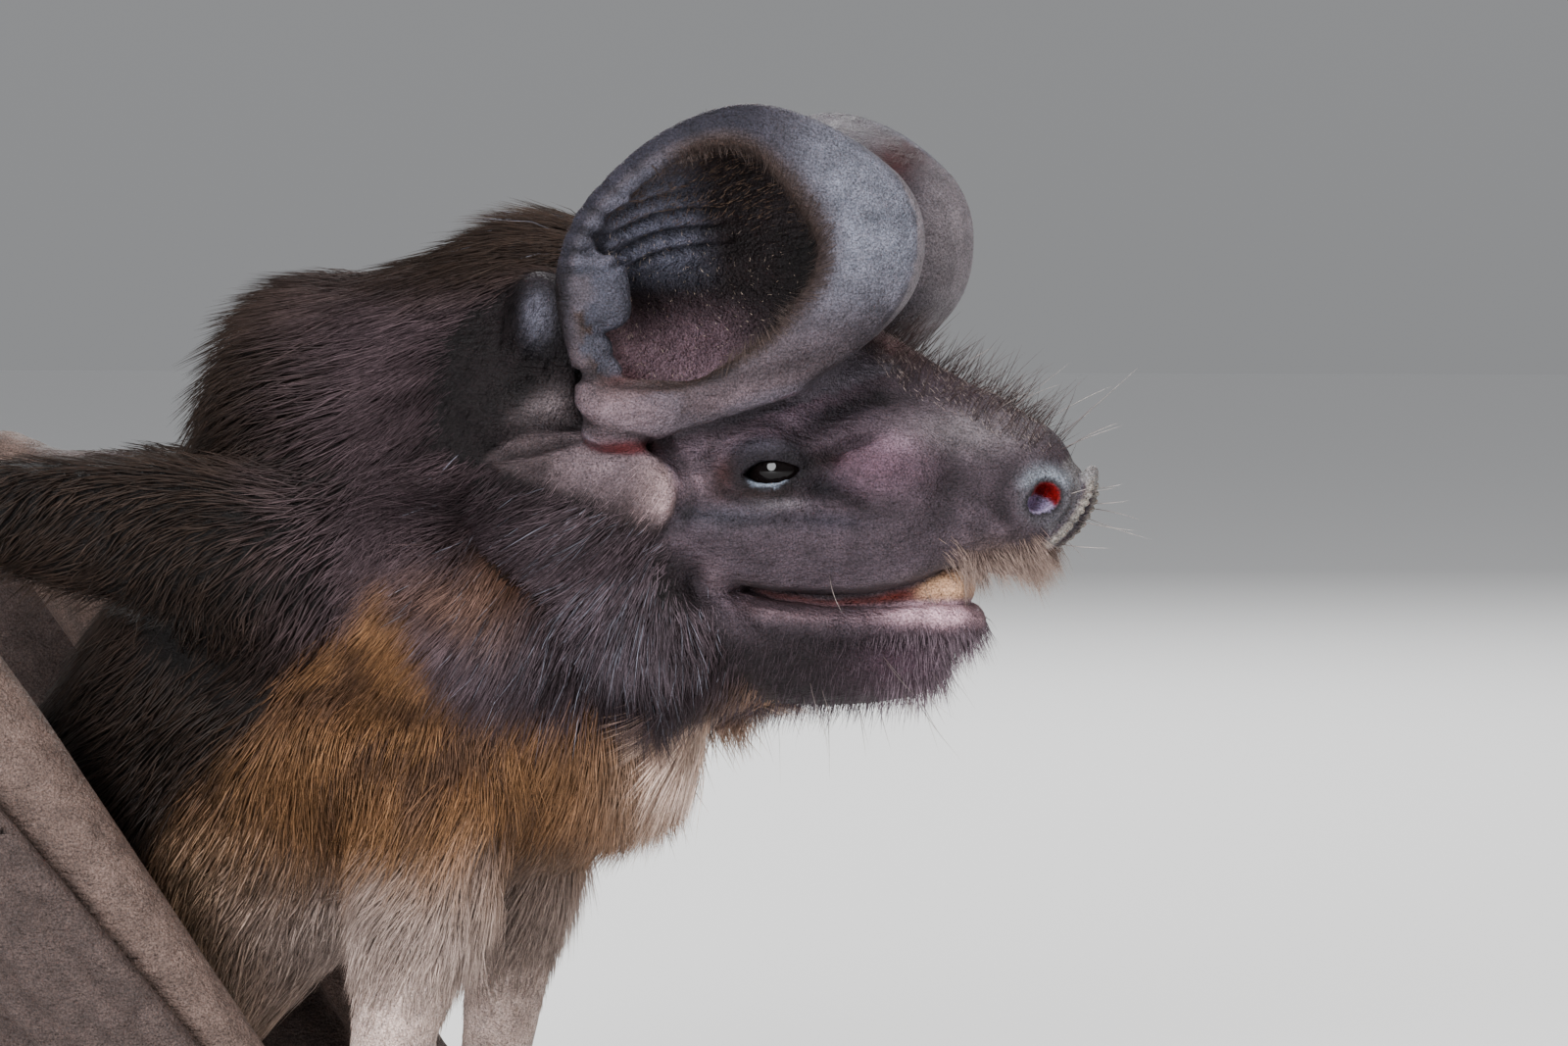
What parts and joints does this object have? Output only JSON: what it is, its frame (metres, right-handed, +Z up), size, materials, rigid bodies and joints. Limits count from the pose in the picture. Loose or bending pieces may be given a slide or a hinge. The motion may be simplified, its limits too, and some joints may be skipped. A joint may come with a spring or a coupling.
{
  "type": "free-tailed bat, still museum model",
  "caption": "Life-size still model of a free-tailed bat with large rounded ears, standing on its wrists and hind feet with its head raised.",
  "frame": {"origin": "on the floor, under the middle of the model's box", "axes": "+X towards the nose, +Y to the animal's left, +Z up"},
  "size_m": [0.1238, 0.0482, 0.0683],
  "materials": {
    "skin": "velvety bare skin",
    "wing_skin": "dark wing and foot skin",
    "fur": "short dense fur",
    "eye": "wet black",
    "claw": "dark horn"
  },
  "bodies": {
    "root": {"head": "skin", "nose_pad": "skin", "lower_jaw": "skin", "neck": "fur", "chest": "fur", "belly": "fur", "rump": "fur", "tail_root": "wing_skin", "tail_tip": "wing_skin", "eye_left": "eye", "ear_left": "skin", "antitragus_left": "skin", "upper_arm_left": "fur", "forearm_left": "wing_skin", "wrist_left": "wing_skin", "thumb_left": "wing_skin", "thumb_claw_left": "claw", "arm_fold_left": "skin", "folded_fingers_left": "wing_skin", "thigh_left": "fur", "shank_left": "wing_skin", "foot_left": "wing_skin", "tail_membrane_left": "wing_skin", "wing_membrane_left": "wing_skin", "toe_claw_1_left": "claw", "toe_claw_2_left": "claw", "toe_claw_3_left": "claw", "toe_claw_4_left": "claw", "toe_claw_5_left": "claw", "eye_right": "eye", "ear_right": "skin", "antitragus_right": "skin", "upper_arm_right": "fur", "forearm_right": "wing_skin", "wrist_right": "wing_skin", "thumb_right": "wing_skin", "thumb_claw_right": "claw", "arm_fold_right": "skin", "folded_fingers_right": "wing_skin", "thigh_right": "fur", "shank_right": "wing_skin", "foot_right": "wing_skin", "tail_membrane_right": "wing_skin", "wing_membrane_right": "wing_skin", "toe_claw_1_right": "claw", "toe_claw_2_right": "claw", "toe_claw_3_right": "claw", "toe_claw_4_right": "claw", "toe_claw_5_right": "claw"}
  },
  "joints": []
}
